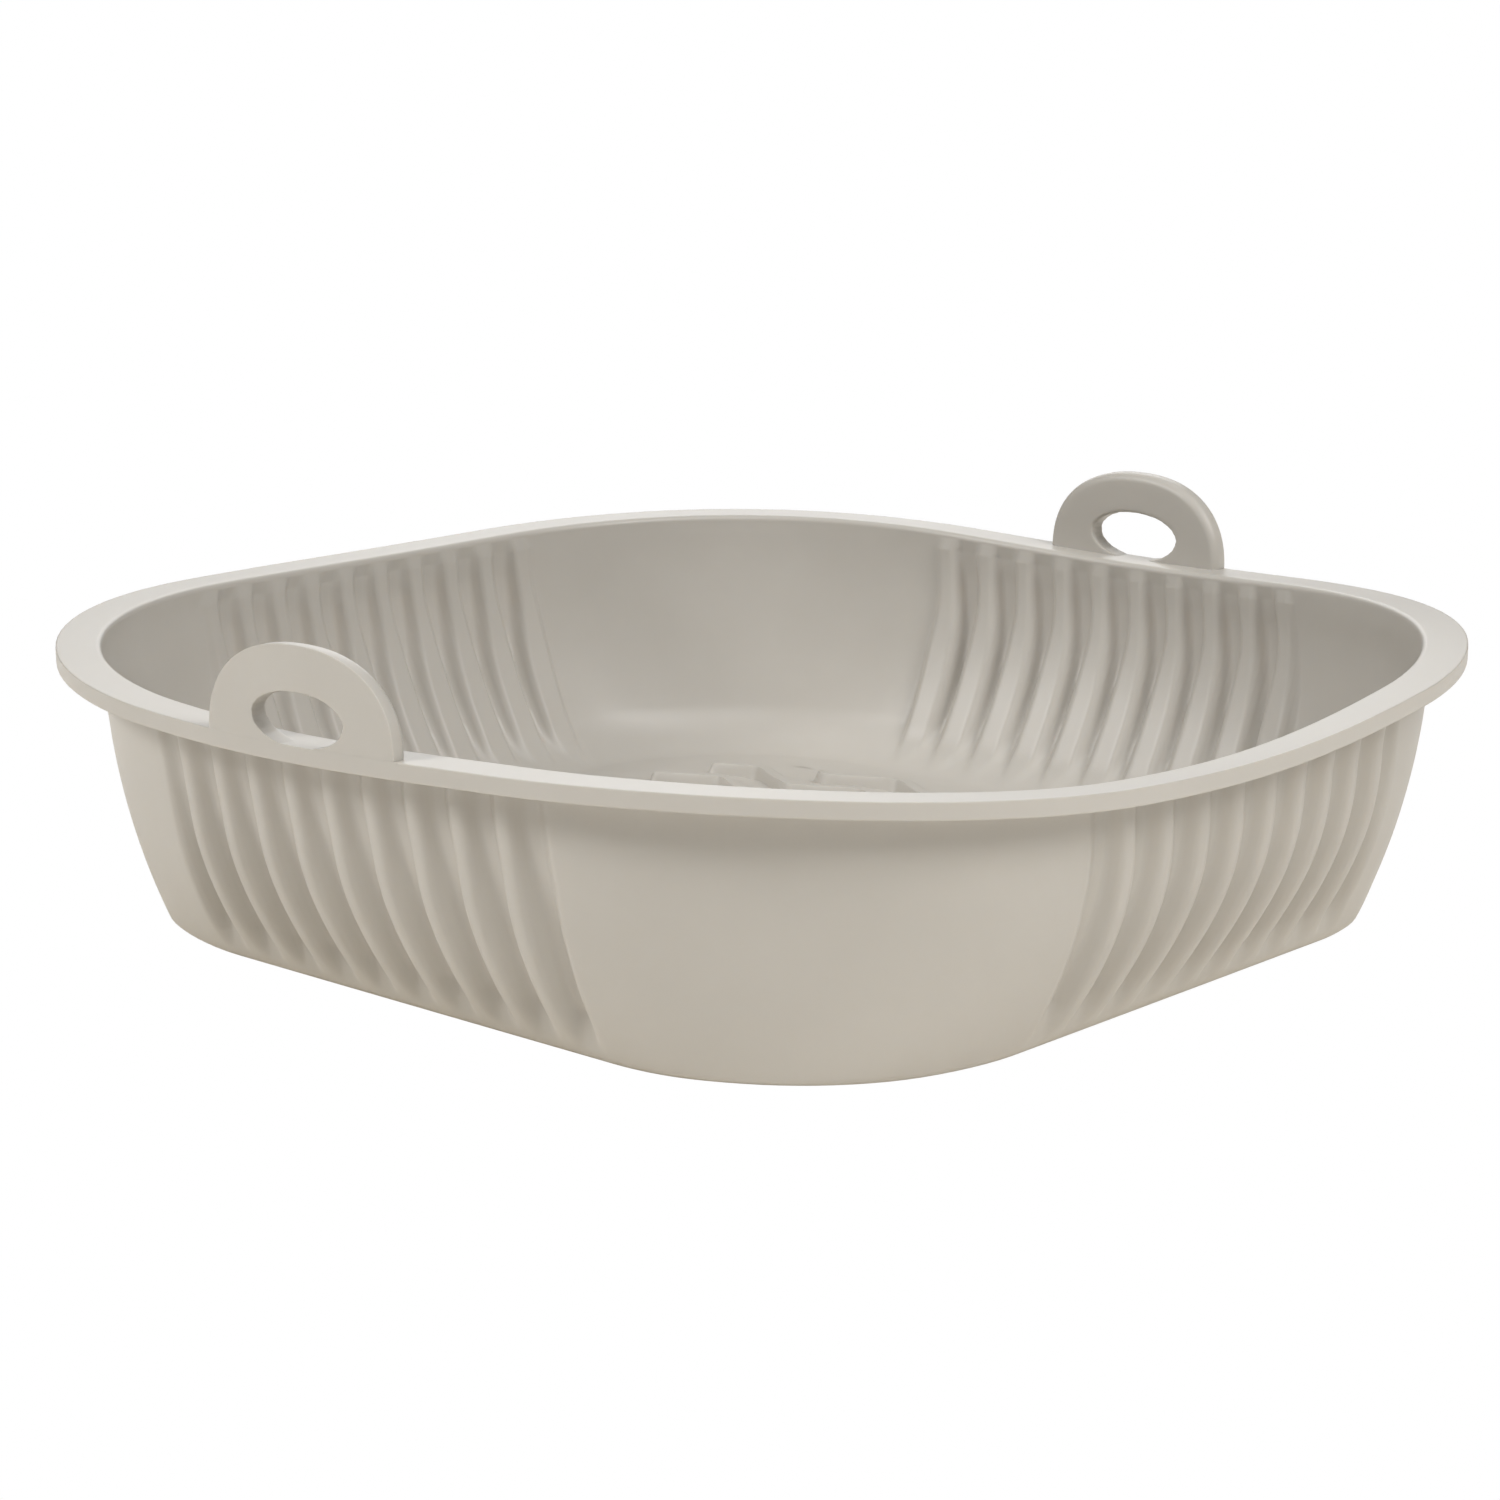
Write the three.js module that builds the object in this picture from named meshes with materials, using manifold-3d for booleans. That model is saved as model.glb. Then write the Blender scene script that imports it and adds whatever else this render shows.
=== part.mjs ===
// A square soft silicone basin: ribbed flat floor, fluted side wall, flat lip and two finger-loop ears.
// Millimetres, +Z up. The origin is the centre of the flat underside. The ears stand on the -Y and +Y sides.
import * as THREE from "three";
import { mergeVertices } from "three/addons/utils/BufferGeometryUtils.js";
import Module from "manifold-3d";

const wasm = await Module();
wasm.setup();

// Outlines in plan. Each has four slightly bowed sides and four round corners that meet them smoothly.
// mid: from the basin's centre to the middle of a side. radius: of a corner arc.
// centre: of that arc, along X and along Y.
const BASE = { mid: 82.85, radius: 42.4, centre: 40.4 };
const WALL_TOP = { mid: 99.3, radius: 70, centre: 27.6 };
const RIM = { mid: 105, radius: 75, centre: 28.4 };

// Heights.
const FLOOR_THICK = 2.2;
const RIM_TOP = 45.3;
const RIM_THICK = 2.7;
const RIM_UNDERSIDE = RIM_TOP - RIM_THICK;

// Side wall. It leans out fast at the base and slowly under the lip: WALL_SWELL sets that curve.
const WALL_THICK = 2.3;
const WALL_SWELL = 0.826;
const FLOOR_FILLET = 8;

// Flutes: grooves outside that show as ridges inside, on the four sides only.
const FLUTE_COUNT = 10;
const FLUTE_PITCH = 8.5;
const FLUTE_DEPTH = 2.6;
const GROOVE_DEPTH_TOP = 1.2;
const RIDGE_DEPTH_TOP = 0.1;
const FLUTE_FLANK = 2.1;
const GROOVE_FLAT = 2.0;
const RIDGE_FLAT = 3.4;
const FLUTE_FOOT = 3.2;
const FLUTE_FULL = [8, 36];
const SIDE_END = 44;
const CORNER_STEPS = 8;

// Lip.
const RIM_WIDTH = 8.1;
const RIM_EDGE_RADIUS = 1.2;

// Floor ribs: rounded zigzags along X, kept RIB_INSET inside the outline of the base.
const RIB_ROWS = 13;
const RIB_PITCH = 10.5;
const RIB_PERIOD = 25;
const RIB_SWING = 2.9;
const RIB_SHARPNESS = 0.93;
const RIB_HEIGHT = 2;
const RIB_FOOT = 3.6;
const RIB_CREST = 1.8;
const RIB_INSET = 20;
const RIB_STEP = RIB_PERIOD / 8;
const RIB_END_TAPER = 0.45;

// Ears: flat loops that bend at their foot. HINGE_GAP is the clearance between the foot and the lip.
const EAR_HALF_WIDTH = 19.75;
const EAR_TOP = 59.9;
const EAR_SHOULDER = 2.25;
const EAR_THICK = 3;
const EAR_SETBACK = 0.3;
const HINGE_GAP = 0.3;
const HOLE_HALF_WIDTH = 9.75;
const HOLE_HALF_HEIGHT = 4.05;
const HOLE_CENTRE = 49.1;
const EAR_CENTRE = RIM.mid - EAR_SETBACK - EAR_THICK / 2;
const HINGE_HEIGHT = RIM_TOP + HINGE_GAP + EAR_THICK / 2;

const lerp = THREE.MathUtils.lerp;

// ---------------------------------------------------------------- outlines

// The outline of the wall's outer face at a height.
function wallOutline(z) {
  const s = THREE.MathUtils.clamp(z / RIM_UNDERSIDE, 0, 1);
  const t = s + WALL_SWELL * s * (1 - s);
  return {
    mid: lerp(BASE.mid, WALL_TOP.mid, t),
    radius: lerp(BASE.radius, WALL_TOP.radius, t),
    centre: lerp(BASE.centre, WALL_TOP.centre, t),
  };
}

// A point of the +Y side at x, with its outward normal: on the wide side arc, or past it on a corner arc.
function sidePoint({ mid, radius, centre }, x) {
  const bow = mid - centre - radius;
  const sideRadius = (centre ** 2 + (mid - centre) ** 2 - radius ** 2) / (2 * bow);
  const junction = (centre * sideRadius) / (sideRadius - radius);
  const onSide = Math.abs(x) <= junction;
  const arcX = onSide ? 0 : Math.sign(x) * centre;
  const arcY = onSide ? mid - sideRadius : centre;
  const arcRadius = onSide ? sideRadius : radius;
  const y = arcY + Math.sqrt(arcRadius ** 2 - (x - arcX) ** 2);
  const normal = new THREE.Vector2((x - arcX) / arcRadius, (y - arcY) / arcRadius);
  return { point: new THREE.Vector2(x, y), normal };
}

// One closed loop of an outline, anticlockwise from above. stations are the x values sampled on every side,
// and inset(x) is how far a side point moves inwards. Corner points move inwards by inset at the side's end.
function outlineLoop(outline, z, stations, inset) {
  const { radius, centre } = outline;
  const startAngle = Math.PI - Math.acos((SIDE_END - centre) / radius);
  const endAngle = Math.PI * 1.5 - startAngle;
  const quarter = stations.map((x) => {
    const { point, normal } = sidePoint(outline, x);
    return point.addScaledVector(normal, -inset(x));
  });
  for (let i = 1; i < CORNER_STEPS; i++) {
    const angle = lerp(startAngle, endAngle, i / CORNER_STEPS);
    const reach = radius - inset(SIDE_END);
    quarter.push(new THREE.Vector2(-centre + reach * Math.cos(angle), centre + reach * Math.sin(angle)));
  }
  const loop = [];
  for (let side = 0; side < 4; side++) {
    for (const p of quarter) {
      const q = p.clone().rotateAround(new THREE.Vector2(), (side * Math.PI) / 2);
      loop.push(new THREE.Vector3(q.x, q.y, z));
    }
  }
  return loop;
}

const PLAIN_STATIONS = [SIDE_END, SIDE_END / 2, 0, -SIDE_END / 2, -SIDE_END];

function plainLoop(outline, z, inset = 0) {
  return outlineLoop(outline, z, PLAIN_STATIONS, () => inset);
}

// ---------------------------------------------------------------- meshes

// Joins loops of equal length into one surface. A ring solid closes on its first loop. Otherwise its ends,
// which are convex, get flat caps.
function loftGeometry(loops, isRing) {
  const count = loops[0].length;
  const positions = loops.flat().flatMap((p) => p.toArray());
  const index = [];
  const bands = isRing ? loops.length : loops.length - 1;
  for (let k = 0; k < bands; k++) {
    const low = k * count;
    const high = ((k + 1) % loops.length) * count;
    for (let i = 0; i < count; i++) {
      const j = (i + 1) % count;
      index.push(low + i, low + j, high + j, low + i, high + j, high + i);
    }
  }
  if (!isRing) {
    const last = (loops.length - 1) * count;
    for (let i = 1; i < count - 1; i++) {
      index.push(0, i + 1, i);
      index.push(last, last + i, last + i + 1);
    }
  }
  return bufferGeometry(positions, index);
}

function bufferGeometry(positions, index) {
  const geometry = new THREE.BufferGeometry();
  geometry.setAttribute("position", new THREE.Float32BufferAttribute(positions, 3));
  geometry.setIndex(index);
  geometry.computeVertexNormals();
  return geometry;
}

function toSolid(geometry) {
  const bare = geometry.clone();
  bare.deleteAttribute("normal");
  bare.deleteAttribute("uv");
  const merged = mergeVertices(bare, 1e-4);
  const vertProperties = merged.getAttribute("position").array;
  const triVerts = new Uint32Array(merged.index.array);
  return new wasm.Manifold(new wasm.Mesh({ numProp: 3, vertProperties, triVerts }));
}

function fromSolid(solid) {
  const mesh = solid.getMesh();
  return bufferGeometry(Array.from(mesh.vertProperties), Array.from(mesh.triVerts));
}

// ---------------------------------------------------------------- basin

// Flute depth at a height: none at the foot, full between the FLUTE_FULL heights, depthTop under the lip.
function fluteDepth(z, depthTop) {
  const rise = THREE.MathUtils.smoothstep(z, FLUTE_FOOT, FLUTE_FULL[0]);
  const fade = THREE.MathUtils.smoothstep(z, FLUTE_FULL[1], RIM_UNDERSIDE);
  return lerp(FLUTE_DEPTH, depthTop, fade) * rise;
}

// Where the flutes bend the surface along a side: the two ends of each flat and of the flanks beside it.
function fluteStations(flat) {
  const stations = [SIDE_END];
  for (let k = FLUTE_COUNT - 1; k >= 0; k--) {
    const middle = (k - (FLUTE_COUNT - 1) / 2) * FLUTE_PITCH;
    for (const offset of [flat / 2 + FLUTE_FLANK, flat / 2, -flat / 2, -flat / 2 - FLUTE_FLANK]) {
      stations.push(middle + offset);
    }
  }
  stations.push(-SIDE_END);
  return stations;
}

// 1 on a flute's flat, falling to 0 across its flanks.
function fluteShape(x, flat) {
  const half = ((FLUTE_COUNT - 1) / 2) * FLUTE_PITCH;
  const nearest = THREE.MathUtils.clamp(Math.round((x + half) / FLUTE_PITCH), 0, FLUTE_COUNT - 1);
  const away = Math.abs(x - (nearest * FLUTE_PITCH - half));
  return THREE.MathUtils.clamp((flat / 2 + FLUTE_FLANK - away) / FLUTE_FLANK, 0, 1);
}

function fluteLoop(z, flat, depthTop, thickness) {
  const depth = fluteDepth(z, depthTop);
  const inset = (x) => thickness + depth * fluteShape(x, flat);
  return outlineLoop(wallOutline(z), z, fluteStations(flat), inset);
}

// How far the round fillet at the floor stands in from the wall's inner face.
function filletReach(z) {
  const left = THREE.MathUtils.clamp(1 - (z - FLOOR_THICK) / FLOOR_FILLET, 0, 1);
  return FLOOR_FILLET * (1 - Math.sqrt(1 - left ** 2));
}

function sideWallGeometry() {
  const outside = [FLOOR_THICK, 4.5, 7, 14, 24, 36, RIM_UNDERSIDE];
  const inside = [RIM_UNDERSIDE, 36, 24, 14, 8, 5, 3.2, FLOOR_THICK];
  return loftGeometry(
    [
      ...outside.map((z) => fluteLoop(z, GROOVE_FLAT, GROOVE_DEPTH_TOP, 0)),
      ...inside.map((z) => fluteLoop(z, RIDGE_FLAT, RIDGE_DEPTH_TOP, WALL_THICK + filletReach(z))),
    ],
    true,
  );
}

function floorGeometry() {
  return loftGeometry([plainLoop(BASE, 0), plainLoop(wallOutline(FLOOR_THICK), FLOOR_THICK)], false);
}

function rimGeometry() {
  const round = RIM_EDGE_RADIUS;
  const section = [
    [0, RIM_UNDERSIDE],
    [0, RIM_TOP],
    [RIM_WIDTH - round, RIM_TOP],
    [RIM_WIDTH - round * (1 - Math.SQRT1_2), RIM_TOP - round * (1 - Math.SQRT1_2)],
    [RIM_WIDTH, RIM_TOP - round],
    [RIM_WIDTH, RIM_UNDERSIDE],
  ];
  return loftGeometry(section.map(([inset, z]) => plainLoop(RIM, z, inset)), true);
}

// ---------------------------------------------------------------- floor ribs

// The rounded zigzag that a rib follows: its sideways offset at x.
function ribWave(x) {
  const phase = Math.cos((2 * Math.PI * x) / RIB_PERIOD);
  return (RIB_SWING * Math.asin(RIB_SHARPNESS * phase)) / Math.asin(RIB_SHARPNESS);
}

// Half the length of the rib in the row at y, where the inset outline of the base ends it.
function ribHalfLength(y) {
  const beyond = Math.max(0, Math.abs(y) - BASE.centre);
  const radius = BASE.radius - RIB_INSET;
  return BASE.centre + Math.sqrt(Math.max(0, radius ** 2 - beyond ** 2)) - RIB_FOOT / 2;
}

// A rib is a row of tapered sections across its path. The end ones are narrower, which rounds its ends.
function ribGeometry(row) {
  const half = ribHalfLength(row);
  const steps = 2 * Math.ceil(half / RIB_STEP);
  const path = [];
  for (let i = 0; i <= steps; i++) {
    const x = lerp(-half, half, i / steps);
    path.push(new THREE.Vector2(x, row + ribWave(x)));
  }
  const sections = path.map((_, i) => {
    const before = path[Math.max(i - 1, 0)];
    const after = path[Math.min(i + 1, steps)];
    const isEnd = i === 0 || i === steps;
    return ribSection(path[i], after.clone().sub(before).normalize(), isEnd ? RIB_END_TAPER : 1);
  });
  return loftGeometry(sections, false);
}

function ribSection(point, direction, taper) {
  const corners = [
    [-RIB_FOOT / 2, 0],
    [-RIB_CREST / 2, RIB_HEIGHT],
    [RIB_CREST / 2, RIB_HEIGHT],
    [RIB_FOOT / 2, 0],
  ];
  return corners.map(([across, height]) => {
    const x = point.x + direction.y * across * taper;
    const y = point.y - direction.x * across * taper;
    return new THREE.Vector3(x, y, FLOOR_THICK + height);
  });
}

// ---------------------------------------------------------------- ears

// The ear in its own frame: x along the rim, y through its thickness, z up, with the hinge line on z = 0.
function earGeometry() {
  const foot = -EAR_THICK;
  const height = EAR_TOP - HINGE_HEIGHT;
  const outline = new THREE.Shape();
  outline.moveTo(-EAR_HALF_WIDTH, foot);
  outline.lineTo(EAR_HALF_WIDTH, foot);
  const steps = 28;
  for (let i = 0; i <= steps; i++) {
    const angle = (i / steps) * Math.PI;
    const across = Math.sign(Math.cos(angle)) * Math.abs(Math.cos(angle)) ** (2 / EAR_SHOULDER);
    outline.lineTo(EAR_HALF_WIDTH * across, height * Math.sin(angle) ** (2 / EAR_SHOULDER));
  }
  const hole = new THREE.Path();
  hole.absellipse(0, HOLE_CENTRE - HINGE_HEIGHT, HOLE_HALF_WIDTH, HOLE_HALF_HEIGHT, 0, 2 * Math.PI, true);
  outline.holes.push(hole);
  const flat = { depth: EAR_THICK, bevelEnabled: false, curveSegments: 12 };
  const plate = new THREE.ExtrudeGeometry(outline, flat);
  plate.translate(0, 0, -EAR_THICK / 2);
  plate.rotateX(Math.PI / 2);

  // A long bar with a half-round underside trims the foot, so that it can turn on the hinge line.
  const section = new THREE.Shape();
  section.absarc(0, 0, EAR_THICK / 2, Math.PI, 2 * Math.PI, false);
  section.lineTo(EAR_THICK / 2, 2 * height);
  section.lineTo(-EAR_THICK / 2, 2 * height);
  const barLength = 4 * EAR_HALF_WIDTH;
  const long = { depth: barLength, bevelEnabled: false, curveSegments: 8 };
  const bar = new THREE.ExtrudeGeometry(section, long);
  bar.translate(0, 0, -barLength / 2);
  bar.rotateX(Math.PI / 2);
  bar.rotateZ(Math.PI / 2);
  return fromSolid(toSolid(plate).intersect(toSolid(bar)));
}

// ---------------------------------------------------------------- assembly

function silicone(color) {
  return new THREE.MeshStandardMaterial({ color, roughness: 0.5, metalness: 0 });
}

function addMesh(parent, name, geometry, color) {
  const mesh = new THREE.Mesh(geometry, silicone(color));
  mesh.name = name;
  parent.add(mesh);
  return mesh;
}

const basin = new THREE.Group();
basin.name = "basin";
addMesh(basin, "floor_panel", floorGeometry(), 0xaea99f);
addMesh(basin, "side_wall", sideWallGeometry(), 0xbeb6a8);
addMesh(basin, "rim_flange", rimGeometry(), 0xe0ddd2);
for (let i = 0; i < RIB_ROWS; i++) {
  const row = (i - (RIB_ROWS - 1) / 2) * RIB_PITCH;
  addMesh(basin, `floor_rib_${String(i + 1).padStart(2, "0")}`, ribGeometry(row), 0xaea99f);
}

const assembly = new THREE.Group();
assembly.add(basin);
for (const [name, side] of [["front_ear", -1], ["rear_ear", 1]]) {
  const ear = addMesh(assembly, name, earGeometry(), 0xc8c0b2);
  ear.position.set(0, side * EAR_CENTRE, HINGE_HEIGHT);
}

export default assembly;
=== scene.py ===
import bpy
import numpy as np
from mathutils import Matrix, Vector


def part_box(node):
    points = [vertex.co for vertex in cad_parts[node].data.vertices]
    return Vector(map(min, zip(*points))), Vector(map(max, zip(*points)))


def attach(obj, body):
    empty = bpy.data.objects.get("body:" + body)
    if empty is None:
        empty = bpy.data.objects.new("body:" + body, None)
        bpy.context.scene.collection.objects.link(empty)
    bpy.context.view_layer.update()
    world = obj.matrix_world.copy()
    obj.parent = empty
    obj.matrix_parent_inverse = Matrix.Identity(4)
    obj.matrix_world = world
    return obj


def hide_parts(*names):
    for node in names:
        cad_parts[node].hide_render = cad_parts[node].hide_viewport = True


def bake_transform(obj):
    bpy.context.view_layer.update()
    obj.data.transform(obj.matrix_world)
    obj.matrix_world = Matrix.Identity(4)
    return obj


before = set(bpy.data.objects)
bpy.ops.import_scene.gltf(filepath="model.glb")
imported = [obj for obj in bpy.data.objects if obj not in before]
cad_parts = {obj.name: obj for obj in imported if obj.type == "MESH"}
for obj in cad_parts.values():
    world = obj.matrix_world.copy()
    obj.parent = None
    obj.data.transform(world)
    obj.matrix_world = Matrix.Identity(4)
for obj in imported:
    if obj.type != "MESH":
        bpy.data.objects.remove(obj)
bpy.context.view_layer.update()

MM = 0.001

# ------------------------------------------------------------------ dimensions, in millimetres unless said
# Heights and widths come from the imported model's boxes. The shapes between them are named here.

floor_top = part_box("floor_panel")[1].z / MM
wall_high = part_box("side_wall")[1] / MM
rim_low, rim_high = (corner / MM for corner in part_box("rim_flange"))
ear_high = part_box("front_ear")[1] / MM

RIM_UNDER = rim_low.z
RIM_TOP = rim_high.z

# An outline in plan is (middle of a side, corner radius, centre of the corner arc along X and Y).
BASE = np.array([82.85, 42.4, 40.4])
WALL_TOP = np.array([wall_high.x, 70.0, 27.6])
RIM = np.array([rim_high.x, 75.0, 28.4])

WALL_SWELL = 0.826
SIDE_SWELL = 2.4
WALL_THICK = 1.3
WALL_THICK_TOP = 1.45
FLOOR_FILLET = 7.0
FLOOR_FILLET_RISE = 8.0
BASE_EDGE_RADIUS = 0.6
LIP_FILLET = 0.7
LIP_EDGE_RADIUS = 0.15
LIP_WIDTH = 7.4
LIP_INNER_RADIUS = 0.9
# Extra rings this far from a round edge, and under the lip, keep the flat faces beside it flat.
EDGE_SUPPORT = 0.25
UNDER_LIP_SUPPORT = 2.0

# Flutes: grooves outside and ridges inside, pressed into one skin. reach is from a flute's middle to where
# it has run out, and flank is its sloping side. Its depth becomes top over the heights FLUTE_FADE. Ridges
# are wider by widen lower down, and end in round tips, which taper sets.
FLUTE_COUNT = 10
FLUTE_PITCH = 8.5
FLUTE_FADE = (12.0, 42.6)
GROOVE = {"depth": 3.0, "top": 1.1, "flank": 2.6, "reach": 3.5, "widen": 0.0, "taper": 0.0}
RIDGE = {"depth": 2.5, "top": 0.8, "flank": 2.0, "reach": 3.0, "widen": 1.1, "taper": 0.6}
WIDEN_FALL = (36.0, 20.0)
GROOVE_RAMP = (1.8, 8.2)
RIDGE_TIP = 8.2
# Between two flutes the skin stands out beyond the plain corners: a crest outside, a valley inside.
CREST_BULGE = 0.6
CREST_SPREAD = (0.8, 4.0)
VALLEY_BULGE = 1.15
BULGE_RISE = (10.0, 26.0)
# The ridges stand lower at their feet: the share of their depth there, and the heights over which it grows.
RIDGE_FOOT = 0.4
RIDGE_RISE = (3.0, 11.0)
# The valleys between ridges are shallower near the lip: the share left there, and the heights over which
# it falls.
VALLEY_LEFT = 0.45
VALLEY_RISE = (36.0, 42.6)

RIB_ROWS = 13
RIB_PITCH = 10.5
RIB_PERIOD = 25.0
RIB_SWING = 2.9
RIB_SHARPNESS = 0.93
RIB_HEIGHT = 2.4
RIB_CREST = 0.9
RIB_FOOT = 1.85
RIB_INSET = 20.0
# The floor's grid has lines at these distances from the middle of each rib. Towards the sides of the grid
# its lines run straight, and rings lead from its border to the wall.
RIB_LINES = np.array([0.7, 1.0, 1.25, 1.55, RIB_FOOT])
GRID_INSET = 14.0
GRID_STRAIGHT = 6.0
SLOPE_STEP = 0.1

EAR_HALF_WIDTH = ear_high.x
EAR_TOP = ear_high.z
EAR_THICK = 3.0
EAR_SHOULDER = 2.25
EAR_FACE_RADIUS = 0.15
EAR_BACK_RADIUS = 1.5
HOLE_BACK_RADIUS = 0.7
EAR_ROOT = 0.9
HOLE_HALF_WIDTH = 9.75
HOLE_HALF_HEIGHT = 4.05
HOLE_CENTRE = 49.1
# The hole's edge is slightly uneven: waves in a full turn of it, and how much of its size each adds.
HOLE_WAVES = np.array([7.0, 13.0, 29.0])
HOLE_ROUGHNESS = 0.004
# The ear's roots sit inside the lip, a little smaller than the feet above them.
ROOT_INSET = 0.3
ROOT_NARROWING = 0.03
# The ears differ a little, as moulded: (share of the width, share of the height, shift along X).
EAR_FITS = {"front_ear": (1.0, 1.035, -0.3), "rear_ear": (0.95, 1.075, 0.2)}

# The lip and the walls of the soft moulding sag and wave a little: (waves round the rim, cosine, sine).
SAG = ((2, 0.0, 0.2), (3, -0.65, 0.33), (4, -0.98, 0.54))
# The soft corners reach out or in: (angle in degrees, how far at the lip, how far at the wall's middle).
CORNER_PULLS = ((225.0, 1.4, 0.0), (45.0, -0.4, 1.3), (26.0, 0.0, -1.6))
CORNER_PULL_WIDTH = 22.0
# The pulls at the lip and at the wall set in over these heights.
LIP_PULL_RISE = (34.0, 44.0)
WALL_PULL_RISE = (0.0, 8.0)
# The flutes stand a little off the middle of their sides. The shift fades towards the lip, towards the
# corners and away from the wall.
FLUTE_DRIFT = 1.3
DRIFT_HEIGHTS = (44.0, 28.0)
DRIFT_ALONG = (62.0, 46.0)
DRIFT_ACROSS = (66.0, 76.0)
# The lip leans in on one side: (angle in degrees, how far its inner edge drops, how wide in degrees).
LIP_TILT = (-5.0, 0.7, 38.0)
LIP_TILT_RISE = (30.0, 42.0)

# A ring of the basin's mesh has four quarters, each of the side's steps and the corner's steps.
STEPS_PER_FLUTE = 14
SIDE_STEPS = 146
SIDE_END = SIDE_STEPS / 2 * FLUTE_PITCH / STEPS_PER_FLUTE
CORNER_STEPS = 22
QUARTER = SIDE_STEPS + CORNER_STEPS
AROUND = 4 * QUARTER
STATIONS = np.linspace(SIDE_END, -SIDE_END, SIDE_STEPS + 1)

# Where rings stand on the wall: closer below WALL_FOOT outside, and closer above INNER_BREAK inside.
WALL_FOOT = 10.0
FOOT_RINGS = 15
WALL_RINGS = 22
INNER_START = 0.3
INNER_BREAK = 37.0
INNER_TOP_RINGS = 11
INNER_LOW_RINGS = 12
FLOOR_EDGE_RINGS = 3
# Points on a quarter turn of each kind of round edge, and steps from foot to foot of an ear.
EDGE_TURN = 4
LIP_INNER_TURN = 6
FILLET_TURN = 15
EAR_STEPS = 80
# Edges sharper than this stay crisp.
CRISP_DEGREES = 50

# The silicone: shades of its mottling as (place on the noise's scale, colour), and its roughness from
# smooth to dull patches. Specks: cells per metre, size in a cell, share of cells without one, strength
# and colour.
SKIN_SHADES = ((0.3, (0.50, 0.472, 0.425, 1)), (0.7, (0.525, 0.497, 0.45, 1)))
SKIN_ROUGHNESS = (0.33, 0.45)
SILICONE_IOR = 1.41
SPECK_CELLS = 95.0
SPECK_SIZE = 0.022
SPECK_RARITY = 0.8
SPECK_STRENGTH = 0.55
SPECK_COLOR = (0.16, 0.13, 0.10, 1)
# Light that enters the skin: how much, how far each colour goes, and the metres that 1 stands for.
INNER_LIGHT = 0.12
INNER_LIGHT_REACH = (1.0, 0.75, 0.5)
INNER_LIGHT_SCALE = 0.0015

# Light: how bright the surroundings and the floor are for the basin. The camera sees both as white.
SURROUND = 0.05
FLOOR_GLOW = 0.22
FLOOR_GLOW_COLOR = (1.0, 0.83, 0.55, 1)
FLOOR_COLOR = (0.8, 0.8, 0.8, 1)
FLOOR_ROUGHNESS = 0.9
# Half the floor's width, and how far the softboxes stand from the basin, in metres.
STAGE_HALF = 6.0
SOFTBOX_DISTANCE = 1.5
# (name, azimuth and elevation in degrees, size in metres, power in watts)
SOFTBOXES = (
    ("right_softbox", 92, 40, 0.6, 8.6),
    ("high_softbox", 92, 58, 0.6, 4.6),
    ("front_softbox", 48, 47, 0.5, 4.6),
    ("left_softbox", 326, 36, 0.5, 10.5),
    ("top_softbox", 310, 76, 0.8, 1.4),
    ("back_softbox", 222, 27, 1.0, 5.8),
)

# The camera: its turns in radians, its place in metres and its lens in millimetres.
CAMERA_YAW, CAMERA_PITCH, CAMERA_ROLL = -0.717, -0.2373, 0.0085
CAMERA_PLACE = (0.4147, -0.4804, 0.1791)
CAMERA_LENS = 94.14
CAMERA_SENSOR = 36.0
CAMERA_NEAREST = 0.01


# ------------------------------------------------------------------ helpers

def smooth(t):
    t = np.clip(t, 0.0, 1.0)
    return t * t * (3.0 - 2.0 * t)


def lerp(a, b, t):
    return a + (b - a) * t


def rise(value, start, end):
    """0 at start and 1 at end, with a smooth step between them. start may be the larger one."""
    return smooth((value - start) / (end - start))


def quarter_turn(count):
    """Angles from 0 to a right angle."""
    return np.linspace(0.0, np.pi / 2, count)


def degrees_from(angle, degrees):
    """How far an angle in radians is from a direction, in degrees."""
    return np.degrees(np.arccos(np.cos(angle - np.radians(degrees))))


def side_arc(outline):
    """Radius of the arc along an outline's side, and how far from its middle a corner arc takes over."""
    mid, radius, centre = outline
    bow = mid - centre - radius
    side_radius = (centre ** 2 + (mid - centre) ** 2 - radius ** 2) / (2.0 * bow)
    return side_radius, centre * side_radius / (side_radius - radius)


def rim_reach(angle):
    """How far the lip's edge is from the basin's middle in a direction."""
    mid, radius, centre = RIM
    side_radius, junction = side_arc(RIM)
    off = np.abs((angle + np.pi / 4) % (np.pi / 2) - np.pi / 4)
    along = (mid - side_radius) * np.cos(off)
    side = along + np.sqrt(along ** 2 - (mid - side_radius) ** 2 + side_radius ** 2)
    along = centre * (np.cos(off) + np.sin(off))
    corner = along + np.sqrt(along ** 2 - 2.0 * centre ** 2 + radius ** 2)
    return np.where(side * np.sin(off) <= junction, side, corner)


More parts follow.
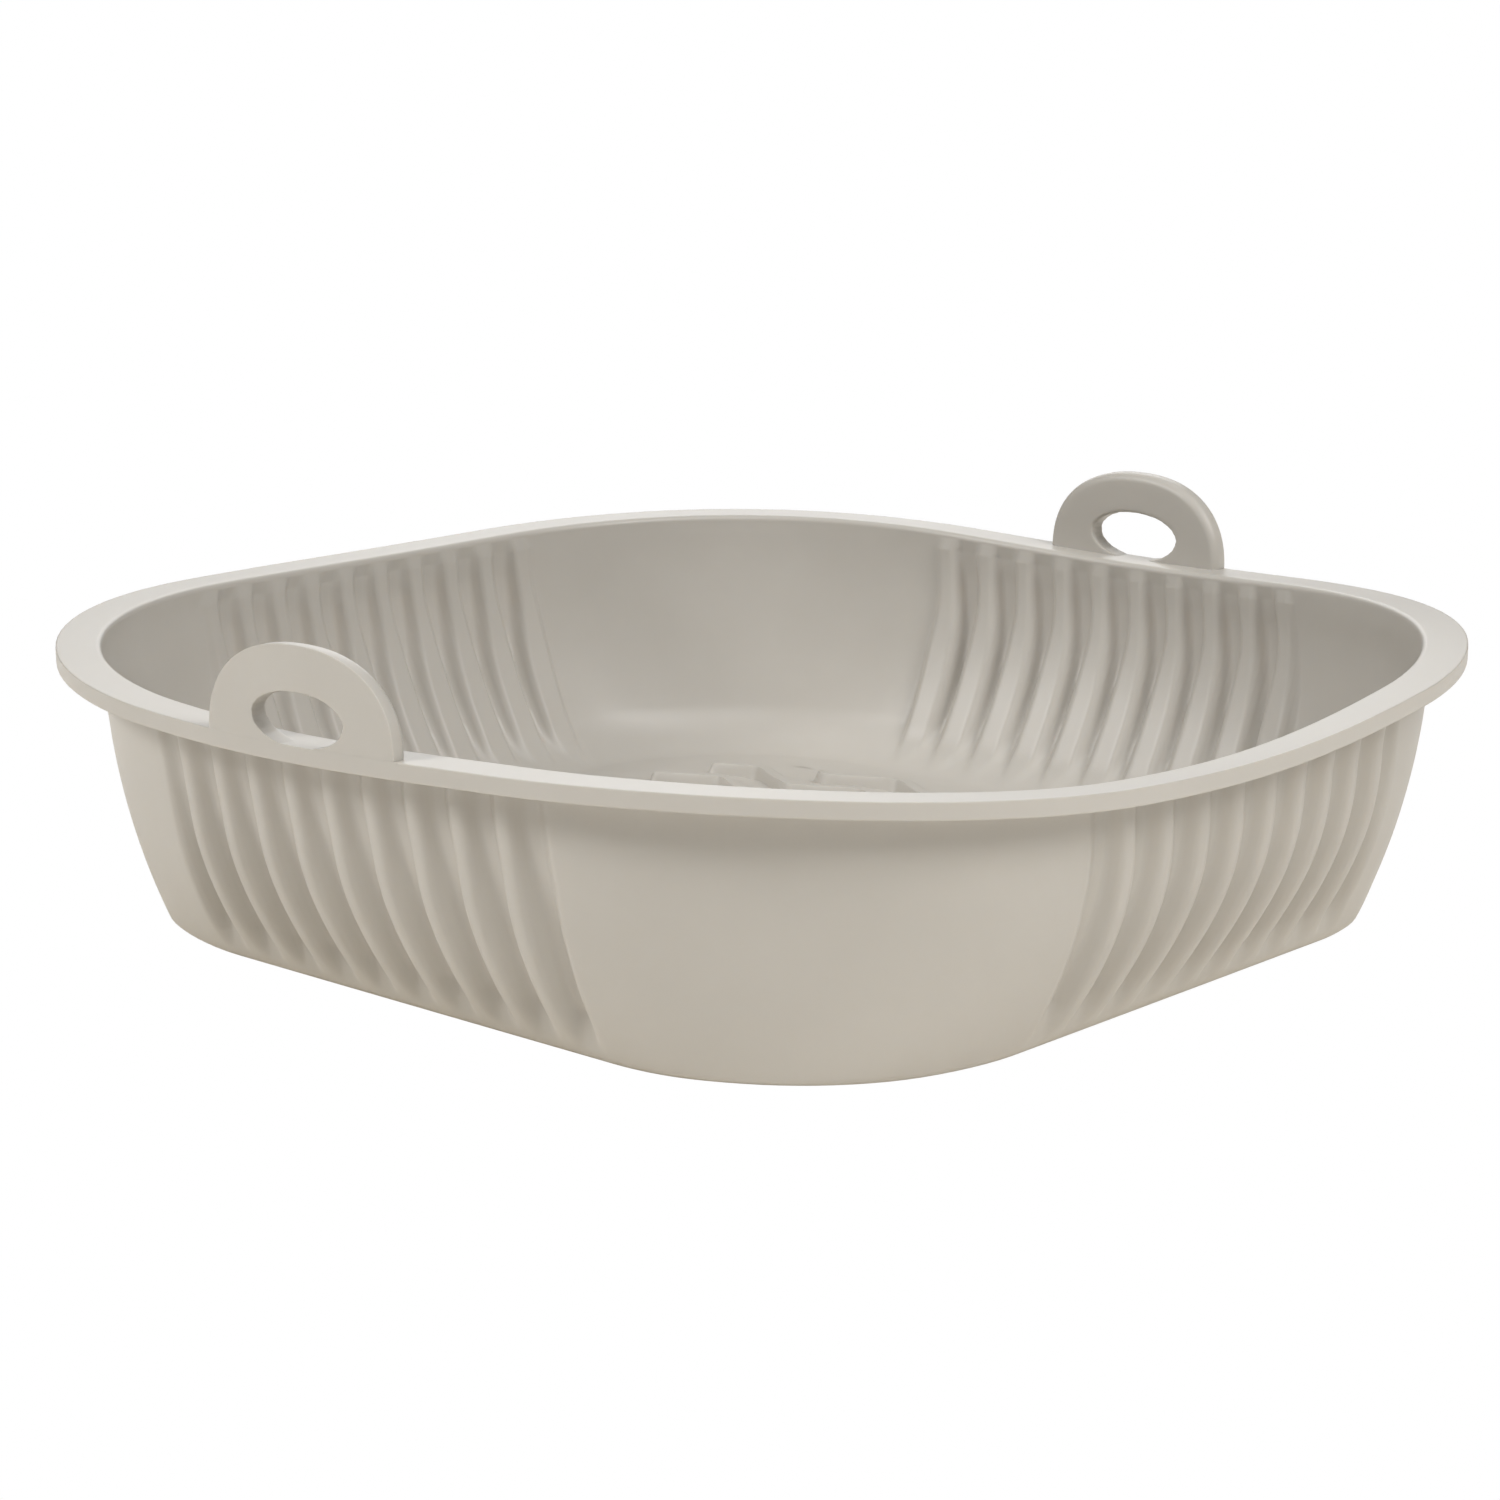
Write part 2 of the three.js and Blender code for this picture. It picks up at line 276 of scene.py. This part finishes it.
def soften(points):
    """Moves points as the soft moulding does: the rim waves, corners reach out or in, flutes drift."""
    x, y, z = points.T
    angle = np.arctan2(y, x)
    lift = sum(c * np.cos(k * angle) + s * np.sin(k * angle) for k, c, s in SAG)
    pull = np.zeros_like(z)
    up = rise(z, *LIP_PULL_RISE)
    wall = rise(z, *WALL_PULL_RISE) * (1.0 - up)
    for degrees, at_lip, at_wall in CORNER_PULLS:
        near = np.exp(-(degrees_from(angle, degrees) / CORNER_PULL_WIDTH) ** 2)
        pull += (at_lip * up + at_wall * wall) * near
    low = FLUTE_DRIFT * rise(z, *DRIFT_HEIGHTS)

    def drift(along, across):
        return low * rise(np.abs(along), *DRIFT_ALONG) * rise(np.abs(across), *DRIFT_ACROSS)

    moved = points.copy()
    moved[:, 0] += pull * np.cos(angle) + drift(x, y)
    moved[:, 1] += pull * np.sin(angle) + drift(y, x)
    moved[:, 2] += lift * np.clip(z / RIM_UNDER, 0.0, 1.0)

    tilt_at, drop, tilt_width = LIP_TILT
    near = np.exp(-(degrees_from(angle, tilt_at) / tilt_width) ** 2)
    across = np.clip((rim_reach(angle) - np.hypot(x, y)) / LIP_WIDTH, 0.0, 1.0)
    moved[:, 2] -= drop * near * across * rise(z, *LIP_TILT_RISE)
    return moved


def strip(low, high):
    """Faces between two loops of point numbers that run side by side."""
    after = [*range(1, len(low)), 0]
    return [(low[i], low[j], high[j], high[i]) for i, j in enumerate(after)]


def new_object(name, points, faces, material):
    """A smooth-shaded mesh object from points in millimetres."""
    mesh = bpy.data.meshes.new(name)
    mesh.from_pydata((points * MM).tolist(), [], faces)
    mesh.materials.append(material)
    mesh.update()
    mesh.shade_smooth()
    mesh.set_sharp_from_angle(angle=np.radians(CRISP_DEGREES))
    obj = bpy.data.objects.new(name, mesh)
    bpy.context.scene.collection.objects.link(obj)
    return obj


# ------------------------------------------------------------------ outlines

def side_curve(outline, x):
    """y and outward normal (nx, ny) of the +Y side at x: a wide side arc that runs into the corner arcs."""
    mid, radius, centre = outline
    side_radius, junction = side_arc(outline)
    on_side = np.abs(x) <= junction
    arc_x = np.where(on_side, 0.0, np.sign(x) * centre)
    arc_y = np.where(on_side, mid - side_radius, centre)
    arc_radius = np.where(on_side, side_radius, radius)
    y = arc_y + np.sqrt(arc_radius ** 2 - (x - arc_x) ** 2)
    return y, (x - arc_x) / arc_radius, (y - arc_y) / arc_radius


def wall_outline(z):
    """The wall's outside at a height. Its sides swell out more than the corners, and bow more higher up."""
    s = np.clip(z / RIM_UNDER, 0.0, 1.0)
    _, radius, centre = lerp(BASE, WALL_TOP, s + WALL_SWELL * s * (1.0 - s))
    corner = centre * np.sqrt(2.0) + radius
    mid = lerp(BASE[0], WALL_TOP[0], 1.0 - (1.0 - s) ** SIDE_SWELL)
    bow = lerp(BASE[0] - BASE[1] - BASE[2], WALL_TOP[0] - WALL_TOP[1] - WALL_TOP[2], s)
    centre = (corner - mid + bow) / (np.sqrt(2.0) - 1.0)
    return np.array([mid, corner - centre * np.sqrt(2.0), centre])


def ring(outline, z, inset):
    """A closed loop of AROUND points, anticlockwise from the middle of the +X +Y corner.
    inset is one number, or one for each of STATIONS, and the corners take the last."""
    _, radius, centre = outline
    inset = np.broadcast_to(inset, STATIONS.shape)
    y, nx, ny = side_curve(outline, STATIONS)
    side = np.stack([STATIONS - nx * inset, y - ny * inset], 1)
    start = np.pi - np.arccos((SIDE_END - centre) / radius)
    angle = np.linspace(start, 1.5 * np.pi - start, CORNER_STEPS + 1)[1:-1]
    reach = radius - inset[-1]
    corner = np.stack([-centre + reach * np.cos(angle), centre + reach * np.sin(angle)], 1)
    turns = [np.concatenate([side, corner])]
    for _ in range(3):
        last = turns[-1]
        turns.append(np.stack([-last[:, 1], last[:, 0]], 1))
    flat = np.roll(np.concatenate(turns), CORNER_STEPS // 2, axis=0)
    return np.column_stack([flat, np.full(len(flat), z)])


# ------------------------------------------------------------------ basin

def from_flute():
    """Distance of the STATIONS from the middle of the nearest flute."""
    half = (FLUTE_COUNT - 1) / 2.0
    nearest = np.clip(np.round(STATIONS / FLUTE_PITCH + half), 0, FLUTE_COUNT - 1) - half
    return np.abs(STATIONS - nearest * FLUTE_PITCH)


def flute_reach(z, shape):
    """Half the width of a flute shape at a height. The ridges are wider lower down."""
    return shape["reach"] + shape["widen"] * rise(z, *WIDEN_FALL)


def flute(z, shape):
    """How much of a flute shape there is, 0 to 1, at the STATIONS at a height."""
    below = max(0.0, RIDGE_TIP - z) * shape["taper"]
    return smooth((flute_reach(z, shape) - np.hypot(from_flute(), below)) / shape["flank"])


def flute_depth(z, shape):
    return lerp(shape["depth"], shape["top"], rise(z, *FLUTE_FADE))


def bulge(z, between):
    """How much of the bulge there is at a height, where between is 1 between two flutes."""
    last = (FLUTE_COUNT - 1) / 2.0 * FLUTE_PITCH
    return rise(z, *BULGE_RISE) * between * (np.abs(STATIONS) < last)


def groove_inset(z):
    """How far the outside stands in from the wall's outline. The grooves run out on a ramp at the bottom."""
    start, end = GROOVE_RAMP
    depth = flute_depth(z, GROOVE) * np.clip((z - start) / (end - start), 0.0, 1.0)
    crest = rise(from_flute(), *CREST_SPREAD)
    return depth * flute(z, GROOVE) - CREST_BULGE * bulge(z, crest)


def ridge_inset(z):
    """How far the inside stands in from the wall's outside."""
    ridge = flute(z, RIDGE)
    thick = lerp(WALL_THICK, WALL_THICK_TOP, z / RIM_UNDER)
    depth = flute_depth(z, RIDGE) * lerp(RIDGE_FOOT, 1.0, rise(z, *RIDGE_RISE))
    valley = VALLEY_BULGE * lerp(1.0, VALLEY_LEFT, rise(z, *VALLEY_RISE))
    return thick + depth * ridge - valley * bulge(z, 1.0 - ridge)


def outer_wall_rings():
    r = BASE_EDGE_RADIUS
    rings = [ring(BASE, r * (1 - np.sin(a)), r * (1 - np.cos(a))) for a in quarter_turn(EDGE_TURN)[:0:-1]]
    low = np.linspace(r, WALL_FOOT, FOOT_RINGS)
    high = np.linspace(WALL_FOOT, RIM_UNDER - LIP_FILLET, WALL_RINGS)[1:]
    for z in np.concatenate([low, high]):
        rings.append(ring(wall_outline(z), z, groove_inset(z)))
    return rings


def lip_rings(wall_ring):
    """From the fillet under the lip, round its edge and over its top, to below its inner edge."""
    under = ring(RIM, RIM_UNDER, RIM[0] - WALL_TOP[0] - LIP_FILLET)
    rings = []
    for a in quarter_turn(EDGE_TURN)[1:]:
        rings.append(np.column_stack([
            lerp(wall_ring[:, :2], under[:, :2], 1 - np.cos(a)),
            lerp(wall_ring[:, 2], under[:, 2], np.sin(a)),
        ]))
    r = LIP_EDGE_RADIUS
    rings.append(ring(RIM, RIM_UNDER, UNDER_LIP_SUPPORT))
    for a in quarter_turn(EDGE_TURN):
        rings.append(ring(RIM, RIM_UNDER + r * (1 - np.cos(a)), r * (1 - np.sin(a))))
    rings.append(ring(RIM, RIM_UNDER + r + EDGE_SUPPORT, 0.0))
    rings.append(ring(RIM, RIM_TOP - r - EDGE_SUPPORT, 0.0))
    # The lip's edge stays square along the middle of each side, so that an ear's face runs on from it.
    edge = r * smooth(np.abs(STATIONS) - EAR_HALF_WIDTH)
    for a in quarter_turn(EDGE_TURN):
        rings.append(ring(RIM, RIM_TOP, edge * (1 - np.cos(a))))
        rings[-1][:, 2] -= full_ring(edge * (1 - np.sin(a)), r * (1 - np.sin(a)))
    for across in (r + EDGE_SUPPORT, EAR_THICK, LIP_WIDTH - LIP_INNER_RADIUS - EDGE_SUPPORT):
        rings.append(ring(RIM, RIM_TOP, across))
    for a in quarter_turn(LIP_INNER_TURN):
        across = LIP_WIDTH - LIP_INNER_RADIUS * (1 - np.sin(a))
        rings.append(ring(RIM, RIM_TOP - LIP_INNER_RADIUS * (1 - np.cos(a)), across))
    rings.append(ring(RIM, RIM_TOP - LIP_INNER_RADIUS - EDGE_SUPPORT, LIP_WIDTH))
    return rings


def full_ring(side_values, corner_value):
    """Values along a whole ring from values at the STATIONS of a side and one value for the corners."""
    quarter = np.concatenate([side_values, np.full(CORNER_STEPS - 1, corner_value)])
    return np.roll(np.tile(quarter, 4), CORNER_STEPS // 2)


def inner_wall_rings():
    heights = np.concatenate([
        np.linspace(RIM_UNDER - INNER_START, INNER_BREAK, INNER_TOP_RINGS),
        np.linspace(INNER_BREAK, floor_top + FLOOR_FILLET_RISE, INNER_LOW_RINGS)[1:],
    ])
    rings = [ring(wall_outline(z), z, ridge_inset(z)) for z in heights]
    for a in quarter_turn(FILLET_TURN)[-2::-1]:
        z = floor_top + FLOOR_FILLET_RISE * (1 - np.cos(a))
        fillet = FLOOR_FILLET * (1 - np.sin(a))
        rings.append(ring(wall_outline(z), z, fillet + ridge_inset(z)))
    return rings


def rib_wave(x):
    phase = RIB_SHARPNESS * np.cos(2 * np.pi * x / RIB_PERIOD)
    return RIB_SWING * np.arcsin(phase) / np.arcsin(RIB_SHARPNESS)


def rib_rows():
    """Where the ribs' rows stand along Y."""
    return (np.arange(RIB_ROWS) - (RIB_ROWS - 1) / 2) * RIB_PITCH


def half_length(y, inset):
    """Half the length of a row at y inside the base outline moved in by inset."""
    _, radius, centre = BASE
    beyond = np.maximum(0.0, np.abs(y) - centre)
    return centre + np.sqrt(np.maximum(0.0, (radius - inset) ** 2 - beyond ** 2))


def rib_height(x, y):
    """Height of the floor's ribs at points: round-ended bars with soft edges along the wave of each row."""
    height = np.zeros_like(x)
    for row in rib_rows():
        end = half_length(row, RIB_INSET) - RIB_FOOT
        along = np.clip(x, -end, end)
        slope = (rib_wave(along + SLOPE_STEP) - rib_wave(along - SLOPE_STEP)) / (2 * SLOPE_STEP)
        off = (y - row - rib_wave(along)) / np.sqrt(1 + slope ** 2)
        away = np.hypot(off, x - along)
        height = np.maximum(height, RIB_HEIGHT * smooth((RIB_FOOT - away) / (RIB_FOOT - RIB_CREST)))
    return height


def floor_grid():
    """The floor inside the rings as (QUARTER + 1) squared points. Its lines follow the ribs' wave."""
    zone = BASE[0] - GRID_INSET
    offsets = np.concatenate([-RIB_LINES[::-1], [0.0], RIB_LINES])
    rows = rib_rows()
    lines = (rows[:, None] + offsets).ravel()
    gaps = (rows[1:] + rows[:-1]) / 2
    spare = QUARTER + 1 - len(lines) - len(gaps)
    edge = np.linspace(zone, lines[-1], spare // 2 + 1)[:-1]
    v = np.sort(np.concatenate([lines, gaps, edge, -edge]))[::-1]
    across = np.linspace(1.0, -1.0, QUARTER + 1)
    length = half_length(v, GRID_INSET)
    x = length[:, None] * across[None, :]
    fade = smooth((zone - np.abs(v)) / (zone - lines[-1]))[:, None]
    fade = fade * smooth((length[:, None] - np.abs(x)) / GRID_STRAIGHT)
    y = v[:, None] + rib_wave(x) * fade
    z = floor_top + rib_height(x, y)
    return np.stack([x, y, z], 2)


def border_loop(grid):
    """The values along a square grid's border, anticlockwise from its first corner."""
    return np.concatenate([grid[0, :-1], grid[:-1, -1], grid[-1, :0:-1], grid[:0:-1, 0]])


def rings_between(outer, inner, count):
    """Rings on the floor between two closed loops. They go from the first one's spacing to the second's."""
    turns = [np.unwrap(np.arctan2(loop[:, 1], loop[:, 0])) for loop in (outer, inner)]
    reaches = [np.hypot(loop[:, 0], loop[:, 1]) for loop in (outer, inner)]
    rings = []
    for t in np.linspace(0.0, 1.0, count + 2)[1:-1]:
        angle = lerp(*turns, t)
        reach = [np.interp(angle, turn, r, period=2 * np.pi) for turn, r in zip(turns, reaches)]
        across = lerp(*reach, t)
        level = np.full(len(angle), floor_top)
        rings.append(np.column_stack([across * np.cos(angle), across * np.sin(angle), level]))
    return rings


def build_basin(material):
    """One closed skin: the base, the wall's outside, the lip, the wall's inside and the ribbed floor."""
    rings = outer_wall_rings()
    rings += lip_rings(rings[-1])
    rings += inner_wall_rings()
    grid = floor_grid()
    rings += rings_between(rings[-1], border_loop(grid), FLOOR_EDGE_RINGS)
    loops = np.arange(len(rings) * AROUND).reshape(-1, AROUND).tolist()
    faces = []
    for low, high in zip(loops, loops[1:]):
        faces += strip(low, high)
    faces.append(tuple(loops[0][::-1]))

    index = len(rings) * AROUND + np.arange(grid.shape[0] * grid.shape[1]).reshape(grid.shape[:2])
    cells = np.stack([index[:-1, :-1], index[:-1, 1:], index[1:, 1:], index[1:, :-1]], 2)
    faces += cells.reshape(-1, 4).tolist()
    faces += strip(loops[-1], border_loop(index).tolist())
    points = np.concatenate([np.concatenate(rings), grid.reshape(-1, 3)])
    return new_object("basin_moulding", soften(points), faces, material)


# ------------------------------------------------------------------ ears

def ear_section(inner, outer, y_face, root_inset):
    """A closed loop across the ear's arch: face, outer edge, back, inner edge, with rounded corners.
    The wider a stretch or a corner's round, the more points it has."""
    face, back, hole = EAR_FACE_RADIUS, EAR_BACK_RADIUS, HOLE_BACK_RADIUS
    inner, outer = np.array(inner), np.array(outer)
    along = (outer - inner) / np.linalg.norm(outer - inner)
    points = []

    def add(point, depth):
        points.append([point[0], y_face(point[0]) - depth, point[1]])

    for t in np.linspace(0.0, 1.0, 9):
        add(lerp(inner + along * face, outer - along * face, t), root_inset)
    for a in quarter_turn(4)[1:-1]:
        add(outer - along * face * (1 - np.sin(a)), root_inset + face * (1 - np.cos(a)))
    for t in np.linspace(0.0, 1.0, 3):
        add(outer, lerp(root_inset + face, EAR_THICK - back, t))
    for a in quarter_turn(8)[1:-1]:
        add(outer - along * back * (1 - np.cos(a)), EAR_THICK - back * (1 - np.sin(a)))
    for t in np.linspace(0.0, 1.0, 7):
        add(lerp(outer - along * back, inner + along * hole, t), EAR_THICK)
    for a in quarter_turn(6)[1:-1]:
        add(inner + along * hole * (1 - np.sin(a)), EAR_THICK - hole * (1 - np.cos(a)))
    for t in np.linspace(0.0, 1.0, 4):
        add(inner, lerp(EAR_THICK - hole, root_inset + face, t))
    for a in quarter_turn(4)[1:-1]:
        add(inner + along * face * (1 - np.cos(a)), root_inset + face * (1 - np.sin(a)))
    return points


def arch_edges(t, phase):
    """Points on the inner and outer edge of an ear's arch, from t = 0 at one foot to 1 at the other."""
    foot_turn = np.arcsin((RIM_TOP - HOLE_CENTRE) / HOLE_HALF_HEIGHT)
    turn = lerp(foot_turn, np.pi - foot_turn, t)
    rough = 1.0 + HOLE_ROUGHNESS * np.sin(HOLE_WAVES * turn + phase).sum()
    inner = (
        HOLE_HALF_WIDTH * rough * np.cos(turn),
        HOLE_CENTRE + HOLE_HALF_HEIGHT * rough * np.sin(turn),
    )
    around = np.pi * t
    across = np.sign(np.cos(around)) * abs(np.cos(around)) ** (2 / EAR_SHOULDER)
    up = abs(np.sin(around)) ** (2 / EAR_SHOULDER)
    return inner, (EAR_HALF_WIDTH * across, lerp(RIM_TOP, EAR_TOP, up))


def ear_root(sign, y_face):
    """The loop that ends an ear inside the lip, under the foot on one side of it."""
    foot_turn = np.arcsin((RIM_TOP - HOLE_CENTRE) / HOLE_HALF_HEIGHT)
    inner_x = HOLE_HALF_WIDTH * np.cos(foot_turn)
    depth = RIM_TOP - EAR_ROOT
    root = np.array(ear_section((sign * inner_x, depth), (sign * EAR_HALF_WIDTH, depth), y_face, ROOT_INSET))
    root[:, 0] = lerp(root[:, 0], sign * (EAR_HALF_WIDTH + inner_x) / 2, ROOT_NARROWING)
    return root


def ear_loops(phase):
    """Loops across a front or rear ear, as it would stand on the +Y side, from root to root."""

    def y_face(x):
        return float(side_curve(RIM, np.array(x))[0])

    arch = [ear_section(*arch_edges(i / EAR_STEPS, phase), y_face, 0.0) for i in range(EAR_STEPS + 1)]
    return np.array([ear_root(1, y_face), *arch, ear_root(-1, y_face)])


def fit_ear(points, body, direction):
    """Gives an ear's points the small differences of that ear, and turns them to its side."""
    wide, tall, shift = EAR_FITS[body]
    above = np.maximum(points[:, 2] - RIM_TOP, 0.0)
    points[:, 0] *= wide
    points[:, 2] += above * (tall - 1.0)
    if direction < 0:
        points = points * np.array([-1.0, -1.0, 1.0])
    points[:, 0] += shift
    return soften(points)


def build_ear(name, body, direction, material):
    """An ear as an arch over the lip, from foot to foot round its finger hole. direction is its side of Y."""
    loops = ear_loops(direction)
    count = loops.shape[1]
    numbers = np.arange(len(loops) * count).reshape(-1, count).tolist()
    faces = []
    for low, high in zip(numbers, numbers[1:]):
        faces += [(a, d, c, b) for a, b, c, d in strip(low, high)]
    faces += [tuple(numbers[0]), tuple(numbers[-1][::-1])]
    ear = new_object(name, fit_ear(loops.reshape(-1, 3), body, direction), faces, material)

    lift = soften(np.array([[0.0, direction * RIM[0], RIM_TOP]]))[0, 2]
    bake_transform(ear)
    return ear


# ------------------------------------------------------------------ materials

def node(tree, kind, **values):
    """Adds a node. Keyword values set its attributes, or its inputs where the name is an input's."""
    made = tree.nodes.new(kind)
    for key, value in values.items():
        label = key.replace("_", " ")
        if label in made.inputs:
            made.inputs[label].default_value = value
        else:
            setattr(made, key, value)
    return made


def noise(tree, place, scale, detail, roughness):
    texture = node(tree, "ShaderNodeTexNoise", Scale=scale, Detail=detail, Roughness=roughness)
    tree.links.new(place, texture.inputs["Vector"])
    return texture.outputs["Fac"]


def math_node(tree, operation, first, second):
    """A math node's output. first is an output of a node, and second is one too, or a number."""
    made = node(tree, "ShaderNodeMath", operation=operation)
    tree.links.new(first, made.inputs[0])
    if isinstance(second, float):
        made.inputs[1].default_value = second
    else:
        tree.links.new(second, made.inputs[1])
    return made.outputs[0]


def mottled_color(tree, mottle):
    """The silicone's colour, which wanders between two close shades."""
    ramp = node(tree, "ShaderNodeValToRGB")
    for element, (position, color) in zip(ramp.color_ramp.elements, SKIN_SHADES):
        element.position = position
        element.color = color
    tree.links.new(mottle, ramp.inputs["Fac"])
    return ramp.outputs["Color"]


def speckled_color(tree, place, color):
    """The colour with a sparse dark speck in a few of the cells of a cell pattern."""
    cells = node(tree, "ShaderNodeTexVoronoi", Scale=SPECK_CELLS, Randomness=1.0)
    tree.links.new(place, cells.inputs["Vector"])
    near = math_node(tree, "LESS_THAN", cells.outputs["Distance"], SPECK_SIZE)
    split = node(tree, "ShaderNodeSeparateColor")
    tree.links.new(cells.outputs["Color"], split.inputs["Color"])
    chosen = math_node(tree, "GREATER_THAN", split.outputs["Red"], SPECK_RARITY)
    both = math_node(tree, "MULTIPLY", near, chosen)
    strength = math_node(tree, "MULTIPLY", both, SPECK_STRENGTH)
    mixed = node(tree, "ShaderNodeMix", data_type="RGBA")
    mixed.inputs["B"].default_value = SPECK_COLOR
    tree.links.new(strength, mixed.inputs["Factor"])
    tree.links.new(color, mixed.inputs["A"])
    return mixed.outputs["Result"]


def satin_normal(tree, place):
    """A fine satin grain on soft shallow swells."""
    grain = noise(tree, place, scale=2600.0, detail=2.0, roughness=0.6)
    swell = noise(tree, place, scale=60.0, detail=2.0, roughness=0.5)
    swell_bump = node(tree, "ShaderNodeBump", Strength=0.12, Distance=0.0006)
    tree.links.new(swell, swell_bump.inputs["Height"])
    bump = node(tree, "ShaderNodeBump", Strength=0.10, Distance=0.0001)
    tree.links.new(grain, bump.inputs["Height"])
    tree.links.new(swell_bump.outputs["Normal"], bump.inputs["Normal"])
    return bump.outputs["Normal"]


def silicone(name):
    """Satin moulded silicone: soft mottling, sparse specks, a fine satin grain and a little light inside."""
    material = bpy.data.materials.new(name)
    material.use_nodes = True
    tree = material.node_tree
    tree.nodes.clear()
    link = tree.links.new
    place = node(tree, "ShaderNodeTexCoord").outputs["Object"]
    mottle = noise(tree, place, scale=38.0, detail=4.0, roughness=0.55)
    color = speckled_color(tree, place, mottled_color(tree, mottle))
    normal = satin_normal(tree, place)

    patches = node(tree, "ShaderNodeMapRange")
    patches.inputs["To Min"].default_value, patches.inputs["To Max"].default_value = SKIN_ROUGHNESS
    link(mottle, patches.inputs["Value"])

    surface = node(tree, "ShaderNodeBsdfPrincipled")
    surface.inputs["IOR"].default_value = SILICONE_IOR
    surface.inputs["Subsurface Weight"].default_value = INNER_LIGHT
    surface.inputs["Subsurface Radius"].default_value = INNER_LIGHT_REACH
    surface.inputs["Subsurface Scale"].default_value = INNER_LIGHT_SCALE
    link(color, surface.inputs["Base Color"])
    link(patches.outputs["Result"], surface.inputs["Roughness"])
    link(normal, surface.inputs["Normal"])
    output = node(tree, "ShaderNodeOutputMaterial")
    link(surface.outputs["BSDF"], output.inputs["Surface"])
    return material


def pale_floor():
    """White where the camera sees it, and a plain pale floor for the light that it throws back."""
    material = bpy.data.materials.new("pale_floor")
    material.use_nodes = True
    tree = material.node_tree
    surface = tree.nodes["Principled BSDF"]
    surface.inputs["Base Color"].default_value = FLOOR_COLOR
    surface.inputs["Roughness"].default_value = FLOOR_ROUGHNESS
    surface.inputs["Emission Color"].default_value = FLOOR_GLOW_COLOR
    surface.inputs["Emission Strength"].default_value = FLOOR_GLOW
    white = node(tree, "ShaderNodeEmission", Strength=1.0)
    seen = node(tree, "ShaderNodeLightPath").outputs["Is Camera Ray"]
    mixed = node(tree, "ShaderNodeMixShader")
    tree.links.new(seen, mixed.inputs[0])
    tree.links.new(surface.outputs["BSDF"], mixed.inputs[1])
    tree.links.new(white.outputs["Emission"], mixed.inputs[2])
    tree.links.new(mixed.outputs["Shader"], tree.nodes["Material Output"].inputs["Surface"])
    return material


# ------------------------------------------------------------------ stage, light and camera

def build_floor():
    mesh = bpy.data.meshes.new("floor")
    corners = [(x * STAGE_HALF, y * STAGE_HALF, 0) for x, y in ((-1, -1), (1, -1), (1, 1), (-1, 1))]
    mesh.from_pydata(corners, [], [(0, 1, 2, 3)])
    mesh.materials.append(pale_floor())
    floor = bpy.data.objects.new("floor", mesh)
    bpy.context.scene.collection.objects.link(floor)


def build_surroundings():
    """White where the camera sees them, and a dim even light for the basin."""
    world = bpy.data.worlds.new("studio")
    world.use_nodes = True
    tree = world.node_tree
    background = tree.nodes["Background"]
    background.inputs["Strength"].default_value = 1.0
    seen = node(tree, "ShaderNodeLightPath").outputs["Is Camera Ray"]
    glow = node(tree, "ShaderNodeMix", data_type="FLOAT")
    glow.inputs["A"].default_value = SURROUND
    glow.inputs["B"].default_value = 1.0
    tree.links.new(seen, glow.inputs["Factor"])
    tree.links.new(glow.outputs["Result"], background.inputs["Color"])
    bpy.context.scene.world = world


def softbox(name, azimuth, elevation, size, power):
    """A round soft light that faces the basin. Azimuth 0 is in front of the -Y side, 90 of the +X side."""
    turn, tilt = np.radians((azimuth, elevation))
    towards = Vector((np.sin(turn) * np.cos(tilt), -np.cos(turn) * np.cos(tilt), np.sin(tilt)))
    place = towards * SOFTBOX_DISTANCE
    light = bpy.data.lights.new(name, "AREA")
    light.shape = "DISK"
    light.size = size
    light.energy = power
    obj = bpy.data.objects.new(name, light)
    obj.location = place
    obj.rotation_euler = (-place).to_track_quat("-Z", "Y").to_euler()
    bpy.context.scene.collection.objects.link(obj)


def build_camera():
    """At the photograph's viewing angle: from the front and right of the basin, a little above its lip."""
    yaw, pitch, roll = CAMERA_YAW, CAMERA_PITCH, CAMERA_ROLL
    forward = Vector((np.sin(yaw) * np.cos(pitch), np.cos(yaw) * np.cos(pitch), np.sin(pitch)))
    right = forward.cross(Vector((0, 0, 1))).normalized()
    up = right.cross(forward)
    rolled_right = right * np.cos(roll) + up * np.sin(roll)
    rolled_up = up * np.cos(roll) - right * np.sin(roll)
    data = bpy.data.cameras.new("camera")
    data.sensor_width = CAMERA_SENSOR
    data.lens = CAMERA_LENS
    data.clip_start = CAMERA_NEAREST
    camera = bpy.data.objects.new("camera", data)
    turn = Matrix((rolled_right, rolled_up, -forward)).transposed()
    camera.matrix_world = Matrix.Translation(CAMERA_PLACE) @ turn.to_4x4()
    bpy.context.scene.collection.objects.link(camera)
    bpy.context.scene.camera = camera


# ------------------------------------------------------------------ assembly

skin = silicone("satin_silicone")

basin = build_basin(skin)
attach(basin, "basin")
ribs = [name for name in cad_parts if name.startswith("floor_rib_")]
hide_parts("floor_panel", "side_wall", "rim_flange", *ribs)

for side, direction in (("front", -1), ("rear", 1)):
    ear = build_ear(f"{side}_ear_loop", f"{side}_ear", direction, skin)
    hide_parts(f"{side}_ear")

build_floor()
build_surroundings()
for values in SOFTBOXES:
    softbox(*values)
build_camera()
bpy.context.scene.view_settings.view_transform = "Standard"
